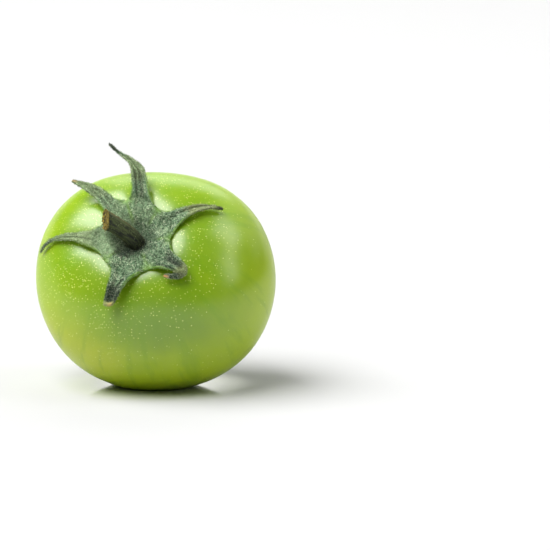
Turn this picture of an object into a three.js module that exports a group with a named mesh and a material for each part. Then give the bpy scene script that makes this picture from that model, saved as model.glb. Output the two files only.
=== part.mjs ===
// A picked green tomato, lying on its side, with its star of sepals and its stub of stem.
// Millimetres, +Z up. The origin is on the surface it rests on, under the middle of its outline box.
// Each piece is drawn upright first, the stem axis along +Z and the fruit's middle at zero, then laid down.

import * as THREE from 'three';
import { mergeVertices } from 'three/addons/utils/BufferGeometryUtils.js';

const fruit = {
  radius: 33.3, // at the widest ring
  shoulderHeight: 27.1, // from the middle up to the shoulder, without the hollow
  blossomDepth: 29, // from the middle down to the blossom end
  sideFullness: 0.915, // below 1 the sides stand fuller than an ellipsoid's
  shoulderFullness: 0.887, // below 1 the shoulder stands flatter and wider
  hollowDepth: 6.2, // the funnel that the stem grows from
  hollowRadius: 7.2,
  scarDepth: 0.5, // the dint of the blossom scar
  scarRadius: 3.5,
  furrowDepth: 0.8, // one furrow runs out under each sepal, between the shoulder lobes
  furrowDistance: 13,
  furrowHalfAngle: 14,
  around: 72, // facets round the axis
  along: 36, // facets from end to end
  stemEndCrowding: 1.15, // above 1 the facets are smaller near the stem end
};

// Slow swells of the fruit's girth: how many there are round it, how big, and where they point.
const swells = [
  { count: 2, size: 0.048, turn: -7.8 },
  { count: 3, size: 0.01, turn: 25.7 },
  { count: 4, size: -0.014, turn: 4.4 },
];

// How it lies: the stem axis rises and turns towards the front left, and the skin is flat where it rests.
const lie = {
  rise: 36.5,
  turn: 14,
  middleHeight: 29.9,
  spotCentre: [-1.3, -1.5], // of the flat spot, from the fruit's middle
  spotRadius: 7,
  spotFade: 13.5,
  underside: 6, // only skin lower than this is pressed
};

const calyx = {
  gap: 0.45, // clear of the skin
  hubThickness: 1.5,
  bladeThickness: 1,
  tipThickness: 0.7,
  seatCentre: [-0.9, -0.6, 24], // the level seat that carries the stem
  seatRadius: 3.5,
  rings: 5,
  columns: 6, // cells across one sepal
  rowsPerPoint: 3,
  rootCrowding: 1.4, // above 1 the rows of a blade stand closer near its root
  rootFlare: 1.15, // how much wider a blade starts than its first listed half width
};

// The bays between the sepals: turn about the stem axis in degrees, and distance from it.
const bays = [
  { turn: -3, reach: 10 },
  { turn: 60, reach: 10.4 },
  { turn: 112, reach: 12.6 },
  { turn: 152, reach: 10.6 },
  { turn: 225, reach: 11.6 },
  { turn: 294, reach: 11.5 },
  { turn: 357, reach: 10 },
];

// One sepal grows between each two bays. Its rib passes through these points, from the bay out to the tip:
// distance from the stem axis, turn, height above the fruit's middle, half width. cup lifts the two edges,
// roll tips the blade about its rib by the time it reaches the tip, and fillet rounds the bays' corners.
const sepals = [
  {
    turn: 29, cup: 0.3, roll: -20, fillet: 7,
    rib: [[13.5, 29, 26.8, 1.9], [16.7, 30.5, 26.3, 1.6], [20.2, 29.9, 25.3, 1.15],
      [23, 28.3, 24.1, 0.7], [25.2, 26.5, 22.6, 0.25]],
  },
  {
    turn: 94, cup: 0.35, roll: 10, fillet: 6,
    rib: [[14.5, 94, 26.4, 2.3], [18.4, 96.2, 25.9, 2.2], [21.8, 98.3, 25.6, 1.8],
      [25.6, 103.6, 25.3, 0.8], [28.7, 109.4, 25.6, 0.4], [32, 113, 26.6, 0.2]],
  },
  {
    turn: 134, cup: 0.2, roll: 0, fillet: 6,
    rib: [[16.8, 133.8, 26, 1.9], [21.1, 136, 25.6, 1.55], [24, 138.2, 25.5, 1.15],
      [28, 141, 25.6, 0.25]],
  },
  {
    turn: 186, cup: -0.1, roll: 0, fillet: 7,
    rib: [[13.5, 185, 26.4, 2], [16.5, 181.5, 25.6, 1.6], [21.4, 178.4, 23.4, 1.05],
      [26.3, 177.8, 20.2, 0.55], [28.7, 179.5, 18.1, 0.6], [30.2, 181.5, 15.8, 0.25]],
  },
  {
    turn: 258, cup: 0.15, roll: 0, fillet: 6,
    rib: [[14.5, 257.5, 26.5, 2.4], [17.4, 256, 25.7, 2.15], [19.9, 255.4, 24.8, 1.7],
      [21.6, 256, 24.8, 1.4], [22, 258, 26.2, 0.8]],
  },
  {
    turn: 321, cup: -0.1, roll: 0, fillet: 6,
    rib: [[12.8, 322, 27, 2.6], [16.8, 324.2, 27.2, 2.1], [18.3, 322.8, 26.4, 1.6],
      [17.7, 316.5, 26, 1], [15.4, 307, 26.4, 0.3]],
  },
];

// The stem's line from its foot to where it broke off, and its radius at each of those points.
const stem = {
  line: [[-0.9, -0.6, 24.3], [-1.5, -0.3, 25.8], [-3.2, 0.5, 27.6], [-5.6, 1.5, 29.2], [-8.3, 2.4, 30.6]],
  radii: [3.1, 2.55, 2.35, 2.4, 2.75],
  breakFacing: [-0.88, -0.21, 0.43], // the way the broken end looks
  breakHollow: 0.3,
  slantShare: 0.35, // the share of the stem that leans into the seat or into the break
  ridges: 5,
  ridgeSize: 0.05,
  around: 20,
  along: 14,
};

const degree = Math.PI / 180;

function surface(colour, roughness, metalness) {
  return new THREE.MeshStandardMaterial({ color: colour, roughness, metalness });
}

const skinFinish = surface(0x92b82e, 0.25, 0);
const sepalFinish = surface(0x66785a, 0.85, 0);
const stemFinish = surface(0x3c4627, 0.8, 0);

function smoothstep(low, high, value) {
  const t = THREE.MathUtils.clamp((value - low) / (high - low), 0, 1);
  return t * t * (3 - 2 * t);
}

function polar(distance, turn, height) {
  return new THREE.Vector3(distance * Math.cos(turn * degree), distance * Math.sin(turn * degree), height);
}

// A smooth graph through evenly spaced values: its height is the y of getPoint.
function graph(values) {
  return new THREE.CatmullRomCurve3(values.map((value, i) => new THREE.Vector3(i, value, 0)));
}

function girth(turn) {
  let share = 1;
  for (const swell of swells) {
    share += swell.size * Math.cos(swell.count * (turn - swell.turn) * degree);
  }
  return fruit.radius * share;
}

function angleBetween(one, other) {
  return Math.abs(THREE.MathUtils.euclideanModulo(one - other + 180, 360) - 180);
}

// How far the skin sinks at the stem end: the funnel, and the furrows under the sepals.
function sink(distance, turn) {
  const funnel = fruit.hollowDepth * Math.exp(-((distance / fruit.hollowRadius) ** 2));
  const reach = (distance / fruit.furrowDistance) ** 2;
  let furrow = 0;
  for (const sepal of sepals) {
    const across = (angleBetween(turn, sepal.turn) / fruit.furrowHalfAngle) ** 2;
    furrow += fruit.furrowDepth * reach * Math.exp(1 - reach - across);
  }
  return funnel + furrow;
}

// A point of the skin by its angle down from the stem axis and its turn about that axis.
function skinPoint(down, turn) {
  const distance = girth(turn) * Math.sin(down) ** fruit.sideFullness;
  if (down < Math.PI / 2) {
    const level = Math.cos(down) ** fruit.shoulderFullness;
    return polar(distance, turn, fruit.shoulderHeight * level - sink(distance, turn));
  }
  const scar = fruit.scarDepth * Math.exp(-((distance / fruit.scarRadius) ** 2));
  return polar(distance, turn, scar + fruit.blossomDepth * Math.cos(down));
}

// A point above the skin of the stem end, lifted square to it.
function overSkin(distance, turn, lift) {
  const at = (d, t) => skinPoint(Math.asin((d / girth(t)) ** (1 / fruit.sideFullness)), t);
  const step = 0.05;
  const here = at(distance, turn);
  const outward = at(distance + step, turn).sub(here);
  const onward = at(Math.max(distance, step), turn + 1).sub(at(Math.max(distance, step), turn));
  return here.addScaledVector(outward.cross(onward).normalize(), lift);
}

// A closed body from a list of triangles, each three points.
function closedBody(triangles) {
  const positions = triangles.flat().flatMap((point) => [point.x, point.y, point.z]);
  const geometry = new THREE.BufferGeometry();
  geometry.setAttribute('position', new THREE.Float32BufferAttribute(positions, 3));
  return mergeVertices(geometry, 1e-3);
}

// The two triangles between neighbouring points of two rows.
function quad(row, nextRow, column, nextColumn) {
  return [
    [row[column], nextRow[column], nextRow[nextColumn]],
    [row[column], nextRow[nextColumn], row[nextColumn]],
  ];
}

// A body of closed rings from its upper end down, with a point closing each end.
function ringBody(firstPoint, rings, lastPoint) {
  const triangles = [];
  const count = rings[0].length;
  for (let side = 0; side < count; side += 1) {
    const next = (side + 1) % count;
    triangles.push([firstPoint, rings[0][side], rings[0][next]]);
    for (let ring = 0; ring + 1 < rings.length; ring += 1) {
      triangles.push(...quad(rings[ring], rings[ring + 1], side, next));
    }
    triangles.push([lastPoint, rings[rings.length - 1][next], rings[rings.length - 1][side]]);
  }
  return closedBody(triangles);
}

// Lays an upright shape down as the fruit lies, at its height over the surface.
function laidDown(geometry) {
  const rise = lie.rise * degree;
  const turn = lie.turn * degree;
  const axis = new THREE.Vector3(
    -Math.sin(turn) * Math.cos(rise),
    -Math.cos(turn) * Math.cos(rise),
    Math.sin(rise),
  );
  const up = new THREE.Vector3(0, 0, 1).addScaledVector(axis, -axis.z).normalize();
  const side = new THREE.Vector3().crossVectors(up, axis);
  const placing = new THREE.Matrix4().makeBasis(side, up, axis).setPosition(0, 0, lie.middleHeight);
  return geometry.applyMatrix4(placing);
}

// Presses the skin flat under its own weight, fading out round the flat spot.
function pressed(geometry) {
  const position = geometry.getAttribute('position');
  for (let i = 0; i < position.count; i += 1) {
    const z = position.getZ(i);
    const fromSpot = Math.hypot(position.getX(i) - lie.spotCentre[0], position.getY(i) - lie.spotCentre[1]);
    if (z < lie.underside) {
      position.setZ(i, Math.max(0, z * smoothstep(lie.spotRadius, lie.spotFade, fromSpot)));
    }
  }
  return geometry;
}

function makeFruit() {
  const rings = [];
  for (let k = 1; k < fruit.along; k += 1) {
    const down = Math.PI * (k / fruit.along) ** fruit.stemEndCrowding;
    const ring = [];
    for (let side = 0; side < fruit.around; side += 1) {
      ring.push(skinPoint(down, (360 * side) / fruit.around));
    }
    rings.push(ring);
  }
  const body = ringBody(skinPoint(0, 0), rings, skinPoint(Math.PI, 0));
  return new THREE.Mesh(pressed(laidDown(body)), skinFinish);
}

// A column of the calyx's hub: a pair of upper and lower points for each ring from the seat to the bays.
// The columns run from one bay to the next, with the middle one under the sepal's own rib.
function hubColumn(sector, column) {
  const [before, after] = [bays[sector], bays[sector + 1]];
  const side = (2 * column) / calyx.columns - 1;
  const ribTurn = sepals[sector].turn;
  const turn = THREE.MathUtils.lerp(ribTurn, side < 0 ? before.turn : after.turn, Math.abs(side));
  const reach = THREE.MathUtils.mapLinear(turn, before.turn, after.turn, before.reach, after.reach);
  const seatEdge = polar(calyx.seatRadius, turn, 0).add(new THREE.Vector3(...calyx.seatCentre));
  const pairs = [];
  for (let ring = 0; ring <= calyx.rings; ring += 1) {
    const share = ring / calyx.rings;
    const place = seatEdge.clone().lerp(polar(reach, turn, 0), share);
    const [distance, placeTurn] = [Math.hypot(place.x, place.y), Math.atan2(place.y, place.x) / degree];
    const thickness = THREE.MathUtils.lerp(calyx.hubThickness, calyx.bladeThickness, share);
    const lower = overSkin(distance, placeTurn, calyx.gap);
    const upper = overSkin(distance, placeTurn, calyx.gap + thickness);
    pairs.push({ upper: ring === 0 ? seatEdge : upper, lower });
  }
  return pairs;
}

// The concave corner of a bay: a quarter ellipse that widens the blade towards its root.
function fillet(fromRoot, length) {
  const left = Math.max(0, 1 - fromRoot / length);
  return 1 - Math.sqrt(1 - left * left);
}

function midPoint(pair) {
  return pair.upper.clone().lerp(pair.lower, 0.5);
}

// One free blade: rows of paired points that start at the hub's last ring and follow the sepal's rib.
function bladeRows(sepal, inner, roots) {
  const middles = roots.map(midPoint);
  const start = middles[calyx.columns / 2];
  const ribPoints = sepal.rib.map(([distance, turn, height]) => polar(distance, turn, height));
  const rib = new THREE.CatmullRomCurve3([inner, start, ...ribPoints]);
  const rootT = 1 / (sepal.rib.length + 1);
  const bladeRoot = calyx.rootFlare * sepal.rib[0][3];
  const widths = graph([bladeRoot, bladeRoot, ...sepal.rib.map((point) => point[3])]);
  const firstAlong = rib.getTangent(rootT);
  const firstAcross = middles[calyx.columns].clone().sub(middles[0]);
  firstAcross.addScaledVector(firstAlong, -firstAcross.dot(firstAlong)).normalize();
  const edges = [middles[0], middles[calyx.columns]];
  const halfRoots = edges.map((edge) => Math.abs(edge.clone().sub(start).dot(firstAcross)));
  const across = firstAcross.clone();
  const rows = [roots];
  const count = sepal.rib.length * calyx.rowsPerPoint;
  for (let k = 1; k <= count; k += 1) {
    const share = (k / count) ** calyx.rootCrowding;
    const t = THREE.MathUtils.lerp(rootT, 1, share);
    const centre = rib.getPoint(t);
    const along = rib.getTangent(t);
    across.addScaledVector(along, -across.dot(along)).normalize();
    const tipped = across.clone().applyAxisAngle(along, sepal.roll * degree * share);
    const upward = along.clone().cross(tipped);
    const fromRoot = centre.distanceTo(start);
    const rootShare = Math.max(0, 1 - fromRoot / sepal.fillet) ** 2;
    const thickness = THREE.MathUtils.lerp(calyx.bladeThickness, calyx.tipThickness, share);
    rows.push(middles.map((middle, column) => {
      const side = (2 * column) / calyx.columns - 1;
      const halfRoot = halfRoots[side < 0 ? 0 : 1];
      const half = widths.getPoint(t).y + (halfRoot - bladeRoot) * fillet(fromRoot, sepal.fillet);
      const rootOffset = middle.clone().sub(start).addScaledVector(firstAcross, -side * halfRoot);
      const point = centre.clone()
        .addScaledVector(tipped, side * half)
        .addScaledVector(upward, sepal.cup * side * side * half * (1 - rootShare))
        .addScaledVector(rootOffset, rootShare);
      return {
        upper: point.clone().addScaledVector(upward, thickness / 2),
        lower: point.clone().addScaledVector(upward, -thickness / 2),
      };
    }));
  }
  return rows;
}

// Both faces of a sheet of paired points, split alike into triangles.
function sheetFaces(rows) {
  const triangles = [];
  const uppers = rows.map((row) => row.map((pair) => pair.upper));
  const lowers = rows.map((row) => row.map((pair) => pair.lower));
  for (let row = 0; row + 1 < rows.length; row += 1) {
    for (let column = 0; column + 1 < rows[row].length; column += 1) {
      const underside = quad(lowers[row], lowers[row + 1], column, column + 1);
      triangles.push(...quad(uppers[row], uppers[row + 1], column, column + 1));
      triangles.push(...underside.map((face) => face.reverse()));
    }
  }
  return triangles;
}

// The thin edge of a sheet along a chain of paired points, facing away from the chain's left.
function edgeFaces(chain) {
  const triangles = [];
  for (let i = 0; i + 1 < chain.length; i += 1) {
    triangles.push([chain[i].upper, chain[i].lower, chain[i + 1].lower]);
    triangles.push([chain[i].upper, chain[i + 1].lower, chain[i + 1].upper]);
  }
  return triangles;
}

function makeCalyx() {
  const triangles = [];
  const seatUpper = new THREE.Vector3(...calyx.seatCentre);
  const seatLower = overSkin(0, 0, calyx.gap);
  sepals.forEach((sepal, sector) => {
    const columns = [];
    for (let column = 0; column <= calyx.columns; column += 1) {
      columns.push(hubColumn(sector, column));
    }
    const rings = columns[0].map((_, ring) => columns.map((pairs) => pairs[ring]));
    triangles.push(...sheetFaces(rings));
    for (let column = 0; column < calyx.columns; column += 1) {
      triangles.push([seatUpper, rings[0][column].upper, rings[0][column + 1].upper]);
      triangles.push([seatLower, rings[0][column + 1].lower, rings[0][column].lower]);
    }
    const inner = midPoint(rings[calyx.rings - 2][calyx.columns / 2]);
    const rows = bladeRows(sepal, inner, rings[calyx.rings]);
    const outline = [
      ...rows.map((row) => row[0]),
      ...rows[rows.length - 1].slice(1, -1),
      ...rows.map((row) => row[calyx.columns]).reverse(),
    ];
    triangles.push(...sheetFaces(rows), ...edgeFaces(outline));
  });
  return new THREE.Mesh(laidDown(closedBody(triangles)), sepalFinish);
}

// The stem: ridged rings along its line, from the level foot on its seat to the slanted broken face.
function makeStem() {
  const line = new THREE.CatmullRomCurve3(stem.line.map((point) => new THREE.Vector3(...point)));
  const radii = graph(stem.radii);
  const foot = line.getPoint(0);
  const tip = line.getPoint(1);
  const seatFacing = new THREE.Vector3(0, 0, 1);
  const breakFacing = new THREE.Vector3(...stem.breakFacing).normalize();
  const across = new THREE.Vector3(1, 0, 0);
  const rings = [];
  for (let k = 0; k <= stem.along; k += 1) {
    const t = k / stem.along;
    const centre = line.getPoint(t);
    const along = line.getTangent(t);
    across.addScaledVector(along, -across.dot(along)).normalize();
    const other = along.clone().cross(across);
    const footShare = Math.max(0, 1 - t / stem.slantShare);
    const breakShare = Math.max(0, 1 - (1 - t) / stem.slantShare);
    const ring = [];
    for (let side = 0; side < stem.around; side += 1) {
      const angle = (2 * Math.PI * side) / stem.around;
      const radius = radii.getPoint(t).y * (1 + stem.ridgeSize * Math.cos(stem.ridges * angle));
      const point = centre.clone()
        .addScaledVector(across, radius * Math.cos(angle))
        .addScaledVector(other, radius * Math.sin(angle));
      const toSeat = foot.clone().sub(point).dot(seatFacing) / along.dot(seatFacing);
      const toBreak = tip.clone().sub(point).dot(breakFacing) / along.dot(breakFacing);
      ring.push(point.addScaledVector(along, footShare * toSeat + breakShare * toBreak));
    }
    rings.push(ring);
  }
  const hollow = tip.clone().addScaledVector(breakFacing, -stem.breakHollow);
  return new THREE.Mesh(laidDown(ringBody(hollow, rings.reverse(), foot)), stemFinish);
}

const tomato = new THREE.Group();
const pieces = { fruit: makeFruit(), calyx: makeCalyx(), stem: makeStem() };
for (const [name, piece] of Object.entries(pieces)) {
  piece.name = name;
  tomato.add(piece);
}
const middle = new THREE.Box3().setFromObject(tomato).getCenter(new THREE.Vector3());
tomato.position.set(-middle.x, -middle.y, 0);

export default tomato;
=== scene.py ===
# A picked green tomato lying on a white table: fine skin, sepals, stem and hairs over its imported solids.
# Shapes are worked out upright in millimetres, the stem axis along +Z and the fruit's middle at zero.
# They are then laid down as the solids lie, in metres.

import math

import bpy
import numpy as np
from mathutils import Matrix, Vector, noise


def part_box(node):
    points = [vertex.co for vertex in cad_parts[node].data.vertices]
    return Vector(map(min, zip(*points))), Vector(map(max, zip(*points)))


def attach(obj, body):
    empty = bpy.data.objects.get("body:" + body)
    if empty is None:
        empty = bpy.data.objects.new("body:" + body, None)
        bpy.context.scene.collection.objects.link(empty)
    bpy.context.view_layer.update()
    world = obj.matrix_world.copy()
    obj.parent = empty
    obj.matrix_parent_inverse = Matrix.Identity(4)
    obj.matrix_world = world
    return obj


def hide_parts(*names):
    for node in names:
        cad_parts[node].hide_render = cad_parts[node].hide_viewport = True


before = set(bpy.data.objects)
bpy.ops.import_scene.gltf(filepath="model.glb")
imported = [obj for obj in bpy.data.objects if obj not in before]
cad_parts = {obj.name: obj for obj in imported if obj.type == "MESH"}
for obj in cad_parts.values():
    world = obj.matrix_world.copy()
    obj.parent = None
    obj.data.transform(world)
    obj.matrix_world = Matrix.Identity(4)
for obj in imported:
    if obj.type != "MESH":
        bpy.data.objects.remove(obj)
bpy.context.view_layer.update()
metre = 0.001  # one millimetre
print("frame loaded:", ", ".join(sorted(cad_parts)))

# How the fruit lies: the stem axis rises and turns towards the front left, on a flat spot of the skin.
lie = {
    "rise": 36.5,
    "turn": 14,
    "middleHeight": 29.9,
    "spotCentre": (-1.3, -1.5),
    "spotRadius": 7,
    "spotFade": 13.5,
    "underside": 6,
}

fruit = {
    "radius": 33.3,
    "shoulderHeight": 27.1,
    "blossomDepth": 29,
    "sideFullness": 0.915,
    "shoulderFullness": 0.887,
    "hollowDepth": 6.2,
    "hollowRadius": 7.2,
    "scarDepth": 0.5,
    "scarRadius": 3.5,
    "furrowDepth": 0.8,
    "furrowDistance": 13,
    "furrowHalfAngle": 14,
    "swells": ((2, 0.048, -7.8), (3, 0.01, 25.7), (4, -0.014, 4.4)),  # count round it, size, turn
    "around": 320,
    "along": 176,
    "crowding": 1.15,
    "lump": 0.11,  # height of the slow unevenness of the skin
    "lumpSize": 13,
    # the deeper green along the furrows is partly the skin's own tone and partly painted shade
    "toneDistance": 17,  # the deeper green along the furrows is strongest this far from the stem
    "toneHalfAngle": 17,
}

# The bays between the sepals: turn about the stem axis, distance from it. The last is the first again.
bays = ((-3, 10), (60, 10.4), (112, 12.6), (152, 10.6), (225, 11.6), (294, 11.5), (357, 10))

# rib, from the bay to the tip: distance from the stem axis, turn, height, half width.
# cup lifts the edges, roll tips the blade by its tip, fillet rounds the bays, fold sinks a groove along
# the rib, pale is how light the whole sepal is: partly its own tone, partly painted light for how
# brightly it is lit.
# dark, pink and olive: from and to which share of the length the blade goes that way, how strongly. 2 is
# past the tip, so a band from 2 on never shows.
# creases: place across (-1 to 1), from and to which share of the length, height, half width across.
sepals = (
    {"turn": 29, "cup": 0.3, "roll": -20, "fillet": 7, "fold": 0.1,
     "pale": 0.1, "dark": (0.86, 2, 1.0), "pink": (2, 3, 0), "olive": (0.35, 2, 0.8),
     "creases": ((0.4, 0.1, 0.8, -0.2, 0.22), (-0.2, 0.0, 0.9, 0.22, 0.3)),
     "rib": ((13.53, 32, 25.6, 1.9), (16.75, 33.1, 25, 1.6), (20.25, 32.2, 23.9, 1.15),
             (23.02, 30.5, 22.6, 0.7), (25.19, 28.5, 21.1, 0.25))},
    {"turn": 94, "cup": 0.35, "roll": 10, "fillet": 6, "fold": 0.35,
     "pale": 0.2, "dark": (0.84, 2, 1.0), "pink": (2, 3, 0), "olive": (0.35, 0.75, 0.35),
     "creases": ((-0.1, 0.06, 0.5, -0.4, 0.18), (0.42, 0.12, 0.55, -0.3, 0.16),
                 (0.16, 0.1, 0.7, 0.2, 0.14)),
     "rib": ((14.5, 94, 26.4, 2.3), (18.4, 96.2, 25.9, 2.2), (21.8, 98.3, 25.6, 1.8),
             (25.6, 103.6, 25.3, 0.8), (28.7, 109.4, 25.6, 0.4), (32, 113, 26.6, 0.2))},
    {"turn": 134, "cup": 0.2, "roll": 0, "fillet": 6, "fold": 0.15,
     "pale": 0.35, "dark": (0.97, 2, 0.3), "pink": (0.96, 2, 0.7), "olive": (0.3, 2, 0.3),
     "creases": ((0.3, 0.0, 0.5, -0.18, 0.24), (-0.35, 0.1, 0.5, -0.12, 0.2)),
     "rib": ((16.8, 133.8, 26, 1.9), (21.1, 136, 25.6, 1.55), (24, 138.2, 25.5, 1.15),
             (28, 141, 25.6, 0.25))},
    {"turn": 186, "cup": -0.1, "roll": 0, "fillet": 7, "fold": 0.1,
     "pale": 0.55, "dark": (0.66, 2, 0.75), "pink": (0.98, 2, 0.3), "olive": (0.15, 0.6, 0.35),
     "creases": ((0.2, 0.1, 0.8, -0.22, 0.2), (-0.5, 0.2, 0.7, -0.12, 0.2)),
     "rib": ((13.5, 185, 26.4, 2), (16.5, 181.5, 25.6, 1.6), (21.4, 178.4, 23.4, 1.05),
             (26.3, 177.8, 20.2, 0.55), (28.7, 179.5, 18.1, 0.6), (30.2, 181.5, 15.8, 0.25))},
    {"turn": 258, "cup": 0.15, "roll": 0, "fillet": 6, "fold": 0.2,
     "pale": 0.05, "dark": (0.34, 0.7, 0.9), "pink": (0.9, 2, 0.45), "olive": (0.73, 2, 1.5),
     "creases": ((0.72, 0.0, 0.7, 0.35, 0.16), (0.4, 0.0, 0.62, -0.4, 0.18),
                 (-0.3, 0.2, 0.62, -0.25, 0.2)),
     "rib": ((14.5, 257.5, 26.5, 2.4), (17.4, 256, 25.7, 2.15), (19.9, 255.4, 24.8, 1.7),
             (21.6, 256, 24.8, 1.4), (22, 258, 26.2, 0.8))},
    {"turn": 321, "cup": -0.1, "roll": 0, "fillet": 6, "fold": 0.2,
     "pale": 0.05, "dark": (0.66, 2, 0.7), "pink": (0.955, 2, 1.0), "olive": (0.42, 0.74, 0.8),
     "creases": ((0.2, 0.1, 0.44, -0.5, 0.42), (-0.45, 0.0, 0.5, 0.35, 0.16),
                 (-0.7, 0.05, 0.4, -0.3, 0.12)),
     "rib": ((12.8, 322, 27, 2.6), (16.8, 324.2, 27.2, 2.1), (18.3, 322.8, 26.4, 1.6),
             (17.7, 316.5, 26, 1), (15.4, 307, 26.4, 0.3))},
)


def smoothstep(low, high, value):
    t = np.clip((value - low) / (high - low), 0, 1)
    return t * t * (3 - 2 * t)


def polar(distance, turn, height):
    distance, angle, height = np.broadcast_arrays(distance, np.radians(turn), height)
    return np.stack([distance * np.cos(angle), distance * np.sin(angle), height], axis=-1)


def unit(vectors):
    return vectors / np.maximum(np.linalg.norm(vectors, axis=-1, keepdims=True), 1e-12)


def angleBetween(one, other):
    return np.abs((one - other + 180) % 360 - 180)


def bumps(points, size, seed):
    # smooth noise from -1 to 1 at each point
    shift = Vector((seed * 31.7, seed * -17.3, seed * 9.1))
    return np.array([noise.noise(Vector(point) / size + shift) for point in points.tolist()])


def girth(turn):
    share = 1
    for count, size, crest in fruit["swells"]:
        share = share + size * np.cos(np.radians(count * (turn - crest)))
    return fruit["radius"] * share


def sink(distance, turn):
    funnel = fruit["hollowDepth"] * np.exp(-((distance / fruit["hollowRadius"]) ** 2))
    reach = (distance / fruit["furrowDistance"]) ** 2
    furrow = 0
    for sepal in sepals:
        across = (angleBetween(turn, sepal["turn"]) / fruit["furrowHalfAngle"]) ** 2
        furrow = furrow + fruit["furrowDepth"] * reach * np.exp(1 - reach - across)
    return funnel + furrow


def skinPoint(down, turn):
    # a point of the skin by its angle down from the stem axis and its turn about that axis
    distance = girth(turn) * np.sin(down) ** fruit["sideFullness"]
    level = np.maximum(np.cos(down), 0) ** fruit["shoulderFullness"]
    upper = fruit["shoulderHeight"] * level - sink(distance, turn)
    scar = fruit["scarDepth"] * np.exp(-((distance / fruit["scarRadius"]) ** 2))
    lower = scar + fruit["blossomDepth"] * np.cos(down)
    return polar(distance, turn, np.where(down < math.pi / 2, upper, lower))


def overSkin(distance, turn, lift):
    # a point above the skin of the stem end, lifted square to it
    def at(d, t):
        return skinPoint(np.arcsin((d / girth(t)) ** (1 / fruit["sideFullness"])), t)
    step = 0.05
    distance = np.maximum(distance, step)
    here = at(distance, turn)
    outward = at(distance + step, turn) - here
    onward = at(distance, turn + 1) - here
    return here + unit(np.cross(outward, onward)) * np.asarray(lift)[..., None]


def towards(turn, rise):
    # a direction by its turn from the front to the right and by its rise, in degrees
    turn, rise = math.radians(turn), math.radians(rise)
    return Vector((math.sin(turn) * math.cos(rise), -math.cos(turn) * math.cos(rise), math.sin(rise)))


def laidDown(points):
    axis = towards(-lie["turn"], lie["rise"])
    up = (Vector((0, 0, 1)) - axis * axis.z).normalized()
    side = up.cross(axis)
    return points @ np.array([side, up, axis]) + np.array([0, 0, lie["middleHeight"]])


def pressed(points):
    # the skin lies flat under its own weight, fading out round the flat spot
    fromSpot = np.hypot(points[:, 0] - lie["spotCentre"][0], points[:, 1] - lie["spotCentre"][1])
    flat = np.maximum(0, points[:, 2] * smoothstep(lie["spotRadius"], lie["spotFade"], fromSpot))
    points[:, 2] = np.where(points[:, 2] < lie["underside"], flat, points[:, 2])
    return points


def spline(points, shares):
    # a smooth curve through the points, at shares of its length in steps of one point
    points = np.array(points, float)
    points = np.vstack([2 * points[0] - points[1], points, 2 * points[-1] - points[-2]])
    place = np.clip(np.atleast_1d(shares), 0, 1) * (len(points) - 3)
    index = np.minimum(place.astype(int), len(points) - 4)
    t = (place - index)[:, None]
    p0, p1, p2, p3 = (points[index + i] for i in range(4))
    d0, d1, d2 = (np.linalg.norm(b - a, axis=1, keepdims=True) ** 0.5
                  for a, b in ((p0, p1), (p1, p2), (p2, p3)))
    start = ((p1 - p0) / d0 - (p2 - p0) / (d0 + d1) + (p2 - p1) / d1) * d1
    end = ((p2 - p1) / d1 - (p3 - p1) / (d1 + d2) + (p3 - p2) / d2) * d1
    square = 3 * (p2 - p1) - 2 * start - end
    cube = 2 * (p1 - p2) + start + end
    return p1 + start * t + square * t**2 + cube * t**3


def heading(points, shares):
    step = 1e-4
    ahead = spline(points, np.minimum(np.atleast_1d(shares) + step, 1))
    return unit(ahead - spline(points, np.maximum(np.atleast_1d(shares) - step, 0)))


def graph(values, shares):
    return spline([(i, value, 0) for i, value in enumerate(values)], shares)[:, 1]


def makeMesh(name, points, faces, smooth=True):
    mesh = bpy.data.meshes.new(name)
    mesh.from_pydata(points.tolist(), [], [list(face) for face in faces])
    if smooth:
        mesh.shade_smooth()
    piece = bpy.data.objects.new(name, mesh)
    bpy.context.scene.collection.objects.link(piece)
    return piece


def setValues(piece, **named):
    # numbers or vectors for each point, which the finishes read by name
    for name, values in named.items():
        values = np.asarray(values, np.float32)
        kind, field = ("FLOAT", "value") if values.ndim == 1 else ("FLOAT_VECTOR", "vector")
        attribute = piece.data.attributes.new(name, kind, "POINT")
        attribute.data.foreach_set(field, values.ravel())


def getVectors(mesh, name):
    vectors = np.empty(len(mesh.vertices) * 3)
    mesh.vertices.foreach_get(name, vectors)
    return vectors.reshape(-1, 3)


def getValues(mesh, name):
    values = np.empty(len(mesh.vertices))
    mesh.attributes[name].data.foreach_get("value", values)
    return values


def ringFaces(rings, around):
    # quads between rings of points, the upper end first, with a point closing each end
    faces = []
    last = 1 + rings * around
    for side in range(around):
        onward = (side + 1) % around
        faces.append((0, 1 + side, 1 + onward))
        for ring in range(rings - 1):
            upper, lower = 1 + ring * around, 1 + (ring + 1) * around
            faces.append((upper + side, lower + side, lower + onward, upper + onward))
        faces.append((last, last - around + onward, last - around + side))
    return faces


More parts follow.
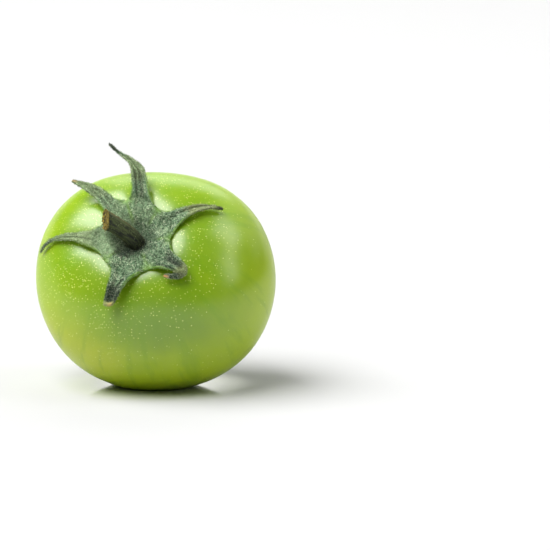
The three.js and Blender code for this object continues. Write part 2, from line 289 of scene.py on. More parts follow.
def makeFruit():
    downs = math.pi * (np.arange(1, fruit["along"]) / fruit["along"]) ** fruit["crowding"]
    turns = 360 * np.arange(fruit["around"]) / fruit["around"]
    down, turn = np.meshgrid(downs, turns, indexing="ij")
    rings = skinPoint(down, turn).reshape(-1, 3)
    ends = skinPoint(np.array([0, math.pi]), np.zeros(2))
    upright = np.vstack([ends[:1], rings, ends[1:]])
    lift = fruit["lump"] * bumps(upright, fruit["lumpSize"], seed=1)
    upright = upright + unit(upright) * lift[:, None]
    points = pressed(laidDown(upright))
    low, high = (np.array(corner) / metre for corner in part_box("fruit"))
    offset = (low + high) / 2 - (points.min(0) + points.max(0)) / 2
    offset[2] = 0
    faces = ringFaces(fruit["along"] - 1, fruit["around"])
    piece = makeMesh("tomatoSkin", (points + offset) * metre, faces)
    turn = np.degrees(np.arctan2(upright[:, 1], upright[:, 0]))
    # the deeper green along the furrows: partly the skin's own tone, partly painted shade
    reach = (np.hypot(upright[:, 0], upright[:, 1]) / fruit["toneDistance"]) ** 2
    tone = 0
    for sepal in sepals:
        across = (angleBetween(turn, sepal["turn"]) / fruit["toneHalfAngle"]) ** 2
        tone = tone + reach * np.exp(1 - reach - across)
    setValues(piece, upright=upright, furrow=np.clip(tone, 0, 1) * (upright[:, 2] > 0))
    return piece, offset


skinPiece, offset = makeFruit()
print("fruit:", len(skinPiece.data.vertices), "points, placed", offset.round(2))


def inPlace(points):
    return (laidDown(points) + offset) * metre


# The calyx: a hub of rings round the stem's seat, from which one blade grows between each two bays.

calyx = {
    "gap": 0.3,  # clear of the skin
    "hubThickness": 1.35,
    "bladeThickness": 0.75,
    "tipThickness": 0.5,
    "seatCentre": (-0.9, -0.6, 24),
    "seatRadius": 3.5,
    "rings": 12,
    "columns": 14,
    "rowsPerPoint": 8,
    "rootCrowding": 1.4,
    "rootFlare": 1.15,
    "smoothing": 7,
    "vein": 0.1,  # height of the veins that run out along a sepal
    "veinTurns": 3.5,
    "veinEdgeLoss": 0.5,
    "veinTipLoss": 0.6,
    "veinStart": (5, 9),  # by distance from the stem axis: where it begins, where it is full
    "wrinkle": 0.16,
    "wrinkleSize": 1.5,
    "wrinkleStart": (4, 8),
    "fineWrinkle": 0.35,  # the small wrinkles, as shares of the large ones
    "fineWrinkleSize": 0.4,
    "hubEnd": 0.03,  # a share of the length below this is still the hub
    "joinDepth": 0.2,  # the joins between the sepals on the hub
    "joinHalfWidth": 0.42,
    "joinStart": (4, 7),
    "joinSway": 0.35,
    "joinSwaySize": 1.3,
    "joinGreen": 0.45,
    "marginStart": (0.8, 0.96),  # the green margins, by place across and share of the length
    "marginEnd": (0.08, 0.5),
    "marginGreen": 0.8,
    "bayReach": 1.5,  # the green spot in each bay
    "bayGreen": 0.8,
    "toneFadeIn": (-0.1, 0.05),  # about the start and the end of a dark, pink or olive part
    "toneFadeOut": (-0.04, 0.04),
    "toneSway": 0.05,
    "toneSwaySize": 1.1,
    "pinkAcross": (0.4, 0.9),  # pink fades out between these towards the margins
    "creaseFade": 0.1,
    # painted shade: how much darker a crease is painted for each millimetre that it is sunk
    "creaseShade": 2,  # how dark a crease is for each millimetre that it is sunk
}

# The hollow round the stem's foot, sunk a little and painted dark as painted shade: a close ring, a wedge
# at its lower left and a weaker halo.
# parts: middle, full up to this distance, gone at this one, sway, strength.
footHollowAndShade = {
    "parts": (((-0.9, -0.6), 3.0, 4.0, 0.6, 1), ((-3.4, -4.2), 1.2, 3.6, 2.2, 1),
              ((-0.9, -0.6), 4.2, 7.5, 1.4, 0.45)),
    "swaySize": 0.7,
    "paintedShade": 0.95,
    "depth": 0.3,
}


def hubSheets():
    sheets = []
    columns = calyx["columns"]
    for sector, sepal in enumerate(sepals):
        side = 2 * np.arange(columns) / columns - 1
        (turnBefore, reachBefore), (turnAfter, reachAfter) = bays[sector], bays[sector + 1]
        halfTurn = np.where(side < 0, sepal["turn"] - turnBefore, turnAfter - sepal["turn"])
        turn = sepal["turn"] + halfTurn * side
        reach = np.interp(turn, (turnBefore, turnAfter), (reachBefore, reachAfter))
        share = np.linspace(0, 1, calyx["rings"] + 1)[:, None]
        seat = polar(calyx["seatRadius"], turn, 0) + np.array(calyx["seatCentre"])
        spot = seat + (polar(reach, turn, 0) - seat) * share[..., None]
        distance = np.hypot(spot[..., 0], spot[..., 1])
        spotTurn = np.degrees(np.arctan2(spot[..., 1], spot[..., 0]))
        thickness = calyx["hubThickness"] + (calyx["bladeThickness"] - calyx["hubThickness"]) * share
        lower = overSkin(distance, spotTurn, calyx["gap"])
        upper = overSkin(distance, spotTurn, calyx["gap"] + thickness + 0 * distance)
        upper[0] = seat
        sheets.append((upper, lower, side + 0 * distance))
    return [np.concatenate(parts, axis=1) for parts in zip(*sheets)]


def bladeSheets(sepal, inner, upperRoot, lowerRoot):
    # rows of paired points that start at the hub's last ring and follow the sepal's rib
    columns = calyx["columns"]
    middles = (upperRoot + lowerRoot) / 2
    start = middles[columns // 2]
    distance, turn, height, halfWidth = np.array(sepal["rib"]).T
    ribLine = [inner, start, *polar(distance, turn, height)]
    rootT = 1 / (len(halfWidth) + 1)
    bladeRoot = calyx["rootFlare"] * halfWidth[0]
    count = len(halfWidth) * calyx["rowsPerPoint"]
    shares = (np.arange(1, count + 1) / count) ** calyx["rootCrowding"]
    ts = rootT + (1 - rootT) * shares
    centres, alongs = spline(ribLine, ts), heading(ribLine, ts)
    halves = graph([bladeRoot, bladeRoot, *halfWidth], ts)
    firstAlong = heading(ribLine, rootT)[0]
    firstAcross = middles[-1] - middles[0]
    firstAcross = unit(firstAcross - firstAlong * firstAcross.dot(firstAlong))
    halfRoots = np.abs((middles[[0, -1]] - start) @ firstAcross)
    side = 2 * np.arange(columns + 1) / columns - 1
    halfRoot = np.where(side < 0, halfRoots[0], halfRoots[1])
    across = firstAcross
    uppers, lowers = [], []
    for centre, along, half, share in zip(centres, alongs, halves, shares):
        across = unit(across - along * across.dot(along))
        angle = math.radians(sepal["roll"]) * share
        tipped = across * math.cos(angle) + np.cross(along, across) * math.sin(angle)
        upward = np.cross(along, tipped)
        fromRoot = np.linalg.norm(centre - start)
        left = max(0, 1 - fromRoot / sepal["fillet"])
        rootShare = left**2
        width = half + (halfRoot - bladeRoot) * (1 - math.sqrt(1 - left**2))
        # the edges lift and the rib sinks, away from the root
        lift = (sepal["cup"] * side**2 - sepal["fold"] * (1 - np.abs(side)) ** 2) * half * (1 - rootShare)
        rootOffset = middles - start - np.outer(side * halfRoot, firstAcross)
        points = centre + np.outer(side * width, tipped) + np.outer(lift, upward) + rootOffset * rootShare
        thickness = calyx["bladeThickness"] + (calyx["tipThickness"] - calyx["bladeThickness"]) * share
        uppers.append(points + upward * thickness / 2)
        lowers.append(points - upward * thickness / 2)
    return np.array(uppers), np.array(lowers), side + 0 * shares[:, None], shares[:, None] + 0 * side


def makeCalyx():
    columns, rings = calyx["columns"], calyx["rings"]
    hubUpper, hubLower, hubSide = hubSheets()
    around = columns * len(sepals)
    points = [hubUpper.reshape(-1, 3), hubLower.reshape(-1, 3)]
    lowerHub = hubSide.size
    across, along, sector = [hubSide.ravel()] * 2, [np.zeros(lowerHub)] * 2, [np.zeros(lowerHub)] * 2
    faces = []

    def sheet(upper, lower):
        # both faces of a sheet of point numbers, split alike
        for row in range(len(upper) - 1):
            for column in range(len(upper[row]) - 1):
                corners = ((row, column), (row + 1, column), (row + 1, column + 1), (row, column + 1))
                faces.append(tuple(upper[corner] for corner in corners))
                faces.append(tuple(lower[corner] for corner in corners[::-1]))

    numbers = np.arange(lowerHub).reshape(rings + 1, around)
    closed = np.hstack([numbers, numbers[:, :1]])
    sheet(closed, closed + lowerHub)
    total = 2 * lowerHub
    for index, sepal in enumerate(sepals):
        columnNumbers = (index * columns + np.arange(columns + 1)) % around
        rootUpper, rootLower = hubUpper[-1, columnNumbers], hubLower[-1, columnNumbers]
        middleColumn = columnNumbers[columns // 2]
        inner = (hubUpper[-3, middleColumn] + hubLower[-3, middleColumn]) / 2
        upper, lower, side, share = bladeSheets(sepal, inner, rootUpper, rootLower)
        size = side.size
        grid = np.arange(size).reshape(side.shape)
        upperNumbers = np.vstack([closed[-1][columnNumbers], grid + total])
        lowerNumbers = np.vstack([closed[-1][columnNumbers] + lowerHub, grid + total + size])
        sheet(upperNumbers, lowerNumbers)
        outline = [*zip(upperNumbers[:, 0], lowerNumbers[:, 0]),
                   *zip(upperNumbers[-1, 1:-1], lowerNumbers[-1, 1:-1]),
                   *zip(upperNumbers[::-1, -1], lowerNumbers[::-1, -1])]
        for (upperOne, lowerOne), (upperNext, lowerNext) in zip(outline, outline[1:]):
            faces.append((upperOne, lowerOne, lowerNext, upperNext))
        points += [upper.reshape(-1, 3), lower.reshape(-1, 3)]
        across += [side.ravel()] * 2
        along += [share.ravel()] * 2
        sector += [np.full(size, index)] * 2
        total += 2 * size
    centres = np.array([calyx["seatCentre"], overSkin(0, 0, calyx["gap"])])
    for column in range(around):
        onward = (column + 1) % around
        faces.append((total, column, onward))
        faces.append((total + 1, lowerHub + onward, lowerHub + column))
    points.append(centres)
    across, along, sector = (np.concatenate([*values, np.zeros(2)]) for values in (across, along, sector))
    piece = makeMesh("sepalStar", np.vstack(points), faces)
    setValues(piece, across=across, along=along, sector=sector)
    soften = piece.modifiers.new("soften", "SMOOTH")
    soften.iterations = calyx["smoothing"]
    piece.modifiers.new("finer", "SUBSURF").levels = 1
    bpy.context.view_layer.update()
    depsgraph = bpy.context.evaluated_depsgraph_get()
    fine = bpy.data.meshes.new_from_object(piece.evaluated_get(depsgraph), depsgraph=depsgraph)
    piece.modifiers.clear()
    piece.data = fine
    return piece


def bandShare(band, along):
    # how much a tone shows at each share of the length
    start, end, strength = band
    fadeIn = smoothstep(*(start + reach for reach in calyx["toneFadeIn"]), along)
    fadeOut = smoothstep(*(end + reach for reach in calyx["toneFadeOut"]), along)
    return strength * fadeIn * (1 - fadeOut)


def hollowAndShadeShare(upright):
    # how deep each point is in the hollow round the stem's foot, which is sunk and painted dark as painted
    # shade
    uneven = bumps(upright, footHollowAndShade["swaySize"], seed=9)
    hollow = 0
    for (x, y), near, far, sway, strength in footHollowAndShade["parts"]:
        spread = np.hypot(upright[:, 0] - x, upright[:, 1] - y) + sway * uneven
        hollow = np.maximum(hollow, strength * (1 - smoothstep(near, far, spread)))
    return hollow


def finishCalyx(piece):
    # veins and wrinkles as real relief, tones as point values, then the piece is laid down
    upright, normals = getVectors(piece.data, "co"), getVectors(piece.data, "normal")
    across, along, sector = (getValues(piece.data, name) for name in ("across", "along", "sector"))
    distance = np.hypot(upright[:, 0], upright[:, 1])
    turn = (np.degrees(np.arctan2(upright[:, 1], upright[:, 0])) - bays[0][0]) % 360 + bays[0][0]
    onHub = along < calyx["hubEnd"]
    bayTurns = [bayTurn for bayTurn, reach in bays]
    sector = np.where(onHub, np.searchsorted(bayTurns[1:-1], turn), np.round(sector))
    veins = np.cos(across * math.pi * calyx["veinTurns"]) * (1 - np.abs(across) * calyx["veinEdgeLoss"])
    veins = veins * smoothstep(*calyx["veinStart"], distance) * (1 - calyx["veinTipLoss"] * along)
    wrinkles = bumps(upright, calyx["wrinkleSize"], seed=2) * smoothstep(*calyx["wrinkleStart"], distance)
    fineWrinkles = bumps(upright, calyx["wrinkleSize"] * calyx["fineWrinkleSize"], seed=3)
    wrinkles = wrinkles + calyx["fineWrinkle"] * fineWrinkles
    relief = calyx["vein"] * veins + calyx["wrinkle"] * wrinkles
    # the joins between the sepals on the hub, the thin margins of the blades, and the bays
    alongBays = [np.radians(angleBetween(turn, bayTurn)) * distance for bayTurn in bayTurns[:-1]]
    fromJoin = np.min(alongBays, axis=0)
    fromJoin = fromJoin + calyx["joinSway"] * bumps(upright, calyx["joinSwaySize"], seed=10)
    join = onHub * np.exp(-((fromJoin / calyx["joinHalfWidth"]) ** 2))
    join = join * smoothstep(*calyx["joinStart"], distance)
    edge = smoothstep(*calyx["marginStart"], np.abs(across))
    edge = edge * (1 - smoothstep(*calyx["marginEnd"], along))
    relief -= calyx["joinDepth"] * join
    bright = np.maximum(calyx["joinGreen"] * join, calyx["marginGreen"] * edge * ~onHub)
    for alongBay, (bayTurn, reach) in zip(alongBays, bays):
        fromBay = np.hypot(distance - reach, alongBay)
        bright = np.maximum(bright, calyx["bayGreen"] * np.exp(-((fromBay / calyx["bayReach"]) ** 2)))
    # each sepal's own tones and creases: a sunken crease is also painted darker, as painted shade
    dark, pink, olive, pale = (np.zeros(len(along)) for _ in range(4))
    unevenAlong = along + calyx["toneSway"] * bumps(upright, calyx["toneSwaySize"], seed=4)
    for index, sepal in enumerate(sepals):
        here = sector == index
        blade = here & ~onHub
        # pale: partly the sepal's own tone, partly painted light for how brightly it is lit
        pale[here] = sepal["pale"]
        for spot, start, end, height, halfWidth in sepal["creases"]:
            fadeIn = smoothstep(start - calyx["creaseFade"], start + calyx["creaseFade"], along)
            fadeOut = smoothstep(end - calyx["creaseFade"], end + calyx["creaseFade"], along)
            crease = blade * fadeIn * (1 - fadeOut) * np.exp(-(((across - spot) / halfWidth) ** 2))
            relief += height * crease
            # painted shade in the sunk crease
            dark = dark + max(0, -calyx["creaseShade"] * height) * crease
        dark[blade] = np.maximum(dark[blade], bandShare(sepal["dark"], unevenAlong[blade]))
        olive[blade] = bandShare(sepal["olive"], unevenAlong[blade])
        pink[blade] = bandShare(sepal["pink"], unevenAlong[blade])
    pink *= 1 - smoothstep(*calyx["pinkAcross"], np.abs(across))
    hollow = hollowAndShadeShare(upright)
    # painted shade: the hollow round the stem's foot is painted dark as well as sunk
    dark = np.clip(np.maximum(dark, footHollowAndShade["paintedShade"] * hollow), 0, 1)
    relief -= footHollowAndShade["depth"] * hollow
    upright = upright + normals * relief[:, None]
    setValues(piece, dark=dark, pink=pink, olive=olive, bright=bright, pale=pale, upright=upright)
    piece.data.vertices.foreach_set("co", inPlace(upright).ravel())
    piece.data.update()


calyxPiece = makeCalyx()
finishCalyx(calyxPiece)
print("calyx:", len(calyxPiece.data.vertices), "points")


stem = {
    "line": ((-0.9, -0.6, 23.9), (-1.5, -0.3, 25.8), (-3.2, 0.5, 27.6), (-5.6, 1.5, 29.2),
             (-8.3, 2.4, 30.6)),
    "radii": (2.6, 2.4, 2.3, 2.35, 2.75),
    "breakFacing": (-0.82, -0.25, 0.52),
    "breakHollow": 0.5,
    "slantShare": 0.35,
    "ridges": 5,
    "ridgeSize": 0.05,
    "grooves": 17,
    "grooveSize": 0.018,
    "around": 96,
    "along": 90,
    "breakRings": 14,
    "crumb": 0.3,  # height of the corky crumbs on the broken end
    "crumbSize": 0.55,
    "fineCrumb": 0.5,
    "barkCrumb": 0.05,
    "corkReach": 0.1,  # how far the cork comes down the sides, as a share of the length
    "grainStretch": 0.012,
    "grooveSway": 2,
    "brownSide": (0.37, 0.93, 0),  # the side that has gone brown
    "brownStart": (0.5, 0.95),
    "brownSway": 0.25,
    # painted shade: the foot is painted dark up to the first distance, and no more from the second
    "footShadeReach": (1.5, 5.5),  # the foot is dark up to the first distance, and no more from the second
}


def makeStem():
    # ridged rings along its line, from the foot in its seat to the slanted, crumbly broken face
    ts = np.linspace(0, 1, stem["along"] + 1)
    centres, alongs = spline(stem["line"], ts), heading(stem["line"], ts)
    radii = graph(stem["radii"], ts)
    foot, tip = centres[0], centres[-1]
    seatFacing, breakFacing = np.array([0, 0, 1]), unit(np.array(stem["breakFacing"]))
    angles = 2 * math.pi * np.arange(stem["around"]) / stem["around"]
    ridges = 1 + stem["ridgeSize"] * np.cos(stem["ridges"] * angles)
    grooveAngles = stem["grooves"] * angles + stem["grooveSway"] * np.sin(2 * angles)
    ridges += stem["grooveSize"] * np.cos(grooveAngles)
    across = np.array([1.0, 0, 0])
    rings = []
    for t, centre, along, radius in zip(ts, centres, alongs, radii):
        across = unit(across - along * across.dot(along))
        other = np.cross(along, across)
        spokes = np.outer(np.cos(angles), across) + np.outer(np.sin(angles), other)
        ring = centre + radius * ridges[:, None] * spokes
        footShare = max(0, 1 - t / stem["slantShare"])
        breakShare = max(0, 1 - (1 - t) / stem["slantShare"])
        toSeat = (foot - ring) @ seatFacing / along.dot(seatFacing)
        toBreak = (tip - ring) @ breakFacing / along.dot(breakFacing)
        rings.append(ring + np.outer(footShare * toSeat + breakShare * toBreak, along))
    rings = np.array(rings[::-1])
    cork = (1 - smoothstep(0, stem["corkReach"], 1 - ts[::-1]))[:, None] + 0 * angles
    # the broken face: rings that close in on its middle, a little hollow
    shares = np.linspace(0, 1, stem["breakRings"] + 1)[1:-1][::-1]
    depths = stem["breakHollow"] * (1 - (1 - shares) ** 2)
    face = [tip + (rings[0] - tip) * (1 - share) - breakFacing * depth
            for share, depth in zip(shares, depths)]
    rings = np.vstack([np.array(face), rings])
    cork = np.vstack([np.ones((len(face), len(angles))), cork])
    middle = tip - breakFacing * stem["breakHollow"]
    points = np.vstack([middle, rings.reshape(-1, 3), foot])
    cork = np.concatenate([[1], cork.ravel(), [0]])
    crumbs = bumps(points, stem["crumbSize"], seed=5)
    crumbs = crumbs + stem["fineCrumb"] * bumps(points, stem["crumbSize"] / 2, seed=6)
    length = tip - foot
    upLength = np.clip((points - foot) @ length / length.dot(length), 0, 1)[:, None]
    outward = unit(points - (foot + length * upLength))
    lift = crumbs * (stem["crumb"] * cork + stem["barkCrumb"])
    # the bark's own places, drawn together along the stem so that its grain runs that way
    around = np.tile(angles, len(rings))
    upBark = np.repeat(np.arange(len(rings)) * stem["grainStretch"], len(angles))
    bark = np.stack([np.cos(around), np.sin(around), upBark], axis=1) * stem["radii"][0]
    bark = np.vstack([bark[:1], bark, bark[-1:]])
    toBrown = outward @ np.array(stem["brownSide"])
    brown = smoothstep(*stem["brownStart"], toBrown + stem["brownSway"] * crumbs)
    points = points + outward * lift[:, None] + breakFacing * (crumbs * stem["crumb"] * cork)[:, None]
    # painted shade: how dark the stem is painted where its foot sits in the calyx's hollow
    footShade = 1 - smoothstep(*stem["footShadeReach"], np.linalg.norm(points - foot, axis=1))
    piece = makeMesh("stemStub", inPlace(points), ringFaces(len(rings), stem["around"]))
    setValues(piece, upright=points, cork=cork, bark=bark, brown=brown, foot=footShade)
    return piece


stemPiece = makeStem()
print("stem:", len(stemPiece.data.vertices), "points")


hairs = {
    "calyx": 32000,
    "stem": 200,
    "length": (0.25, 0.72),
    "width": (0.09, 0.18),
    "lean": 1.5,
    "leanSpread": (0.4, 1.4),
    "twist": 0.3,
    "sunk": 0.12,
    "patch": 2.6,  # size of the paler and darker patches of the felt
    "patchShare": 0.5,
    "dullWidth": 0.8,  # the pale hairs are wider by paleExtra
    "paleExtra": 0.4,
    "paleStart": (0.6, 0.95),
    "marginStart": (0.8, 1.0),  # twice as many on the sepals' margins
    "barkLeast": 0.02,
    "seed": 7,
}


def makeHairs(name, carrier, count, wanted):
    # short three-sided hairs, each sunk at its root, more of them where wanted is high, and their roots
    draw = np.random.default_rng(hairs["seed"])
    mesh = carrier.data
    mesh.calc_loop_triangles()
    corners = np.empty(len(mesh.loop_triangles) * 3, int)
    mesh.loop_triangles.foreach_get("vertices", corners)
    corners = corners.reshape(-1, 3)
    points, normals = getVectors(mesh, "co") / metre, getVectors(mesh, "normal")
    a, b, c = (points[corners[:, i]] for i in range(3))
    weight = np.linalg.norm(np.cross(b - a, c - a), axis=1) * wanted[corners].mean(1)
    chosen = corners[draw.choice(len(corners), count, p=weight / weight.sum())]
    mix = draw.dirichlet((1, 1, 1), count)[..., None]
    root = (points[chosen] * mix).sum(1)
    normal = unit((normals[chosen] * mix).sum(1))
    sideways = draw.normal(size=(count, 3))
    sideways = unit(sideways - normal * (sideways * normal).sum(1, keepdims=True))
    length = draw.uniform(*hairs["length"], count)[:, None]
    width = draw.uniform(*hairs["width"], count)[:, None]
    lean = hairs["lean"] * draw.uniform(*hairs["leanSpread"], count)[:, None]
    direction = unit(normal + sideways * lean)
    across = unit(np.cross(direction, normal + hairs["twist"] * draw.normal(size=(count, 3))))
    other = np.cross(direction, across)
    patch = 0.5 + 0.5 * bumps(root, hairs["patch"], seed=8)
    strand = np.clip(draw.uniform(0, 1, count) + hairs["patchShare"] * (patch - 0.5), 0, 1)
    extra = hairs["paleExtra"] * smoothstep(*hairs["paleStart"], strand)
    width = width * (hairs["dullWidth"] + extra)[:, None]
    base = root - direction * hairs["sunk"]
    tips = root + direction * length
    thirds = (0, 2 * math.pi / 3, 4 * math.pi / 3)
    ring = [base + width / 2 * (math.cos(angle) * across + math.sin(angle) * other) for angle in thirds]
    allPoints = np.stack([*ring, tips], axis=1).reshape(-1, 3)
    first = 4 * np.arange(count)[:, None]
    hairFaces = ((0, 1, 3), (1, 2, 3), (2, 0, 3), (2, 1, 0))
    faces = np.concatenate([first + np.array(face) for face in hairFaces])
    piece = makeMesh(name, allPoints * metre, faces, smooth=False)
    setValues(piece, strand=np.repeat(strand, 4))
    return piece, chosen[:, 0]


margin = smoothstep(*hairs["marginStart"], np.abs(getValues(calyxPiece.data, "across")))
onBlade = getValues(calyxPiece.data, "along") > 0
calyxHairs, roots = makeHairs("sepalHairs", calyxPiece, hairs["calyx"], 1 + margin * onBlade)
tones = {name: getValues(calyxPiece.data, name) for name in ("dark", "pink", "olive", "bright", "pale")}
setValues(calyxHairs, **{name: np.repeat(values[roots], 4) for name, values in tones.items()})
onBark = 1 + hairs["barkLeast"] - getValues(stemPiece.data, "cork")
stemHairs = makeHairs("stemHairs", stemPiece, hairs["stem"], onBark)[0]
print("hairs:", len(calyxHairs.data.vertices) // 4 + len(stemHairs.data.vertices) // 4)


# Finishes. Wire wraps a node's output so that sums on it read as sums.

class Wire:
    def __init__(self, finish, socket):
        self.finish = finish
        self.socket = socket

    def maths(self, operation, first, second):
        return self.finish.node("ShaderNodeMath", {"operation": operation}, {0: first, 1: second})

    def __add__(self, other):
        return self.maths("ADD", self, other)

    __radd__ = __add__

    def __mul__(self, other):
        return self.maths("MULTIPLY", self, other)

    __rmul__ = __mul__

    def __sub__(self, other):
        return self.maths("SUBTRACT", self, other)

    def __rsub__(self, other):
        return self.maths("SUBTRACT", other, self)

    def __truediv__(self, other):
        return self.maths("DIVIDE", self, other)

    def __rtruediv__(self, other):
        return self.maths("DIVIDE", other, self)

    def __pow__(self, other):
        return self.maths("POWER", self, other)

    def __rpow__(self, other):
        return self.maths("POWER", other, self)

    def beside(self, output):
        # another output of the same node
        return Wire(self.finish, self.socket.node.outputs[output])


class Finish:
    # one material, built node by node
    def __init__(self, name, **constants):
        self.material = bpy.data.materials.new(name)
        self.material.use_nodes = True
        self.tree = self.material.node_tree
        self.shader = self.tree.nodes["Principled BSDF"]
        for socket, value in constants.items():
            self.shader.inputs[socket.replace("_", " ")].default_value = value

    def node(self, kind, settings=None, inputs=None, output=0):
        node = self.tree.nodes.new(kind)
        for name, value in (settings or {}).items():
            if name == "stops":
                setStops(node.color_ramp, value)
            else:
                setattr(node, name, value)
        for name, value in (inputs or {}).items():
            self.join(node.inputs[name], value)
        return Wire(self, node.outputs[output])

    def join(self, socket, value):
        if isinstance(value, Wire):
            self.tree.links.new(value.socket, socket)
        else:
            socket.default_value = value

    def value(self, name):
        return self.node("ShaderNodeAttribute", {"attribute_name": name}, output="Fac")

    def vector(self, name):
        return self.value(name).beside("Vector")

    def blend(self, share, first, second):
        inputs = {0: share, 6: first, 7: second}
        return self.node("ShaderNodeMix", {"data_type": "RGBA"}, inputs, output=2)

    def step(self, value, low, high, toLow=0.0, toHigh=1.0):
        inputs = {"Value": value, "From Min": low, "From Max": high, "To Min": toLow, "To Max": toHigh}
        return self.node("ShaderNodeMapRange", {"interpolation_type": "SMOOTHSTEP"}, inputs)

    def grain(self, vector, scale, detail=2.0, roughness=0.5, distortion=0.0):
        inputs = {"Vector": vector, "Scale": scale, "Detail": detail, "Roughness": roughness,
                  "Distortion": distortion}
        return self.node("ShaderNodeTexNoise", {}, inputs)

    def bump(self, height, strength, distance):
        inputs = {"Strength": strength, "Distance": distance, "Height": height}
        return self.node("ShaderNodeBump", {}, inputs)

    def facing(self):
        # 0 where the surface faces the viewer, 1 where it turns away
        return self.node("ShaderNodeLayerWeight", {}, {"Blend": 0.5}, "Facing")

    def feed(self, **inputs):
        for name, value in inputs.items():
            self.join(self.shader.inputs[name.replace("_", " ")], value)
        return self.material


def setStops(ramp, stops):
    while len(ramp.elements) < len(stops):
        ramp.elements.new(0.5)
    for element, (position, colour) in zip(ramp.elements, stops):
        element.position = position
        element.color = colour


def shade(code):
    # a display colour such as "92be22", as the renderer's own values
    parts = [int(code[i:i + 2], 16) / 255 for i in (0, 2, 4)]
    return (*(part / 12.92 if part <= 0.04045 else ((part + 0.055) / 1.055) ** 2.4 for part in parts), 1)


skinLook = {
    "side": shade("a2bc0c"),
    "shoulder": shade("769a02"),
    "shoulderReach": (4, 27),  # by height along the stem axis
    "shoulderSway": 14,
    "blossom": shade("7c9608"),
    "blossomReach": (8, 28),
    "blossomSway": 10,
    "slowScale": 0.055,
    # a deeper green for the furrows and the streaks; along the furrows it is partly painted shade
    "furrow": shade("6a9800"),
    "furrowLeast": 0.15,
    "furrowStreaks": 0.5,
    "streakScale": 0.9,
    "streakSpread": 9,
    "streakHub": 4,
    "streakLength": 0.05,
    "streakFade": (0.5, 0.68),
    "streakShare": 0.35,
    # a yellower, lighter patch low on one cheek: partly the skin's ripening, partly painted bounce light
    "ripeningAndBounceLight": {"colour": shade("c2c81a"), "middle": (-18, -26, 7), "reach": (15, 12, 10),
                 "fade": (-0.4, 2), "share": 0.5, "sway": 2},  # a yellower patch low on one cheek
    "bluish": {"colour": shade("668c2c"), "middle": (9, -25, 18.5), "reach": (14, 9, 6.5),
               "fade": (-0.9, 2.2), "share": 0.62, "sway": 2},  # a cloud on the other cheek
    "speck": shade("f6fa96"),
    "speckShare": 0.9,
    "speckCell": 0.56,
    "speckRadius": 0.175,
    "speckSmallest": 0.4,
    "speckEdge": 0.5,
    "crowdReach": (12, 32),  # near the stem most cells hold a speck, further out few do
    "crowdShare": (0.85, 0.05),
    "crowdSway": 12,
    "crowdDown": 0.25,
    "crowdAside": 0.2,
    "crowdBlossom": 25,
    "fineScale": 1.4,
    "roughness": 0.26,
    "roughnessSpread": 0.08,
    "coat": 0.95,
    "coatEdge": 0.3,  # the gloss weakens where the skin turns away
    "coatFade": (0.2, 0.78),
    "coatRoughness": 0.29,
}


def patched(finish, colour, axes, uneven, patch):
    # the colour with a soft, uneven round patch of another tone
    along = zip(axes, patch["middle"], patch["reach"])
    spread = sum(((axis - spot) / far) ** 2 for axis, spot, far in along) + (uneven - 0.5) * patch["sway"]
    return finish.blend(finish.step(spread, *patch["fade"], patch["share"], 0.0), colour, patch["colour"])


